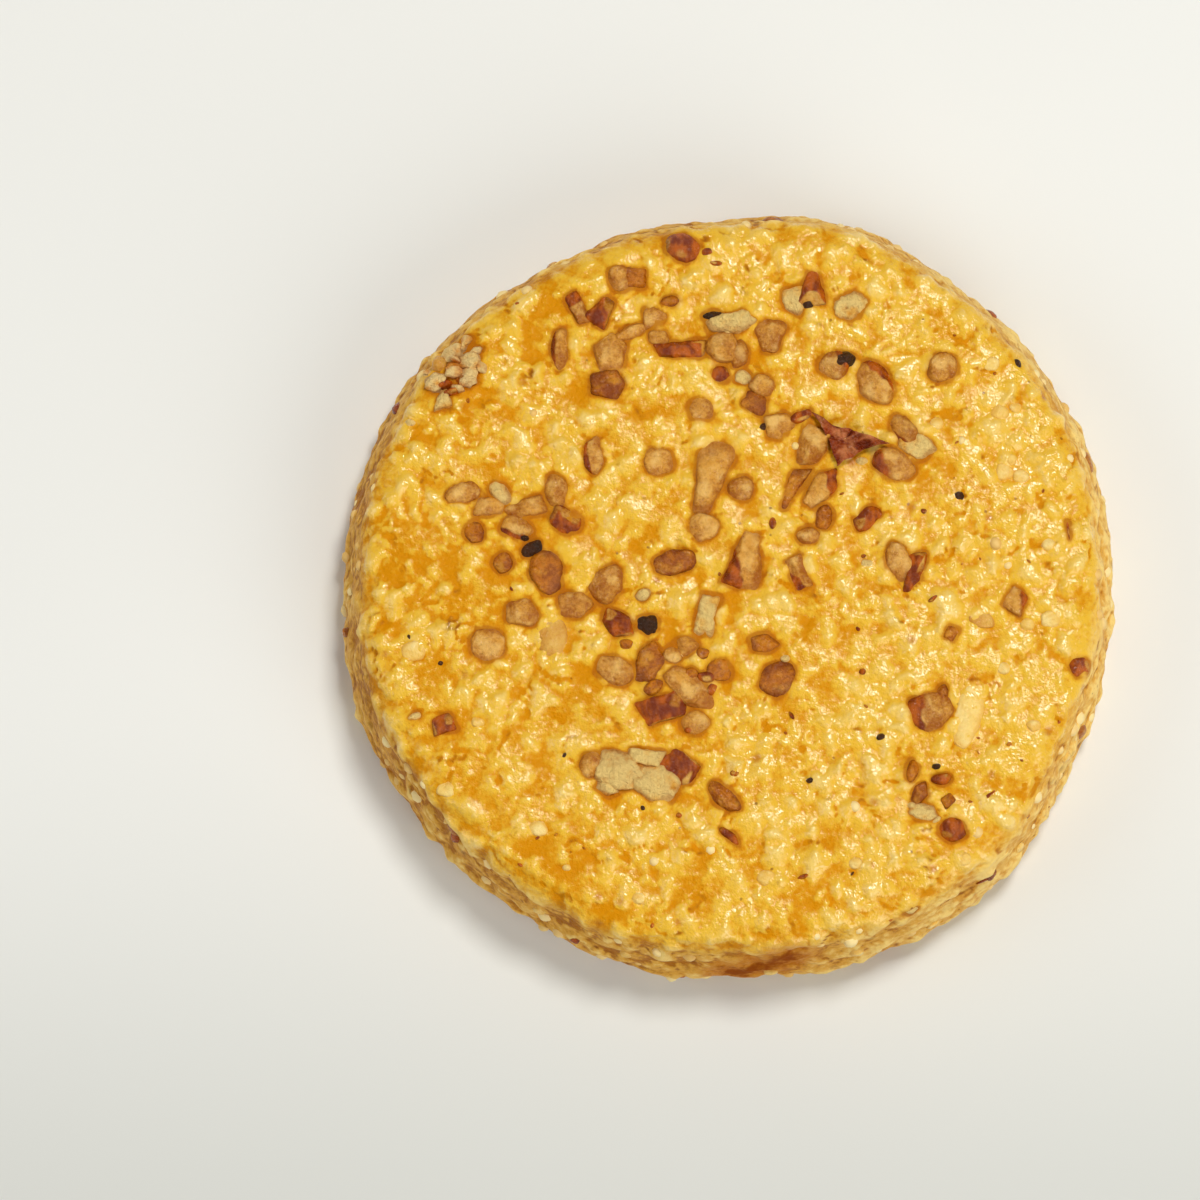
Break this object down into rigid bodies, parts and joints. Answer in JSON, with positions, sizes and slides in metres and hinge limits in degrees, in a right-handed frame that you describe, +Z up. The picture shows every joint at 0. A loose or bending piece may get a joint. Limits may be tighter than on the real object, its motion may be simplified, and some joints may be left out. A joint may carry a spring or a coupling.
{
  "type": "amaranth walnut cookie",
  "caption": "Round crisp cookie with a craggy wall and a glazed, lumpy face of baked-in walnut chips and puffed amaranth grains.",
  "frame": {"origin": "middle of the flat underside", "axes": "+Z up out of the glazed face, +X and +Y across the round"},
  "size_m": [0.0768, 0.0768, 0.0138],
  "materials": {
    "baked_dough": "golden baked dough with a thin egg-wash gloss, tan and red-brown walnut chips, and a duller tan wall"
  },
  "bodies": {
    "root": {"cookie": "baked_dough"}
  },
  "joints": []
}
